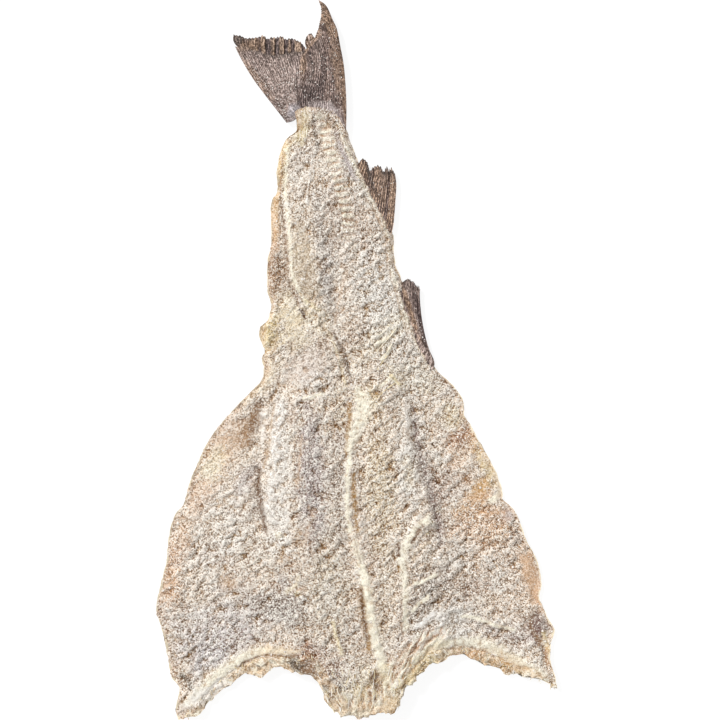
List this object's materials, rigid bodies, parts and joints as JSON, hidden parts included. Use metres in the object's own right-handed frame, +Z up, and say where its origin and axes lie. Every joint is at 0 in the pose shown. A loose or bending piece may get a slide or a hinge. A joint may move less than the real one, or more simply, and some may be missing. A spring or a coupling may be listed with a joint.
{
  "type": "salted dried cod",
  "caption": "Whole split salted dried cod laid flat: narrow tail with fins, thick fillets beside a seam, wide thin belly flaps and an arched collar cut.",
  "frame": {"origin": "under the middle of the outline, at the height of the surface the fish lies on", "axes": "+Z up out of the flesh side, +Y along the fish towards the tail, +X across it"},
  "size_m": [0.341, 0.611, 0.027],
  "materials": {
    "salted_flesh": "dry salted fish flesh, cream with grey and tan patches, rough and unglossy",
    "dried_skin": "dry fish skin, mottled grey-brown, slightly glossy",
    "dried_fin": "dry fin membrane over rays, grey-brown, slightly glossy",
    "salt": "coarse salt grains, off-white, slightly translucent"
  },
  "bodies": {
    "root": {"salted_cod": "salted_flesh"}
  },
  "joints": []
}
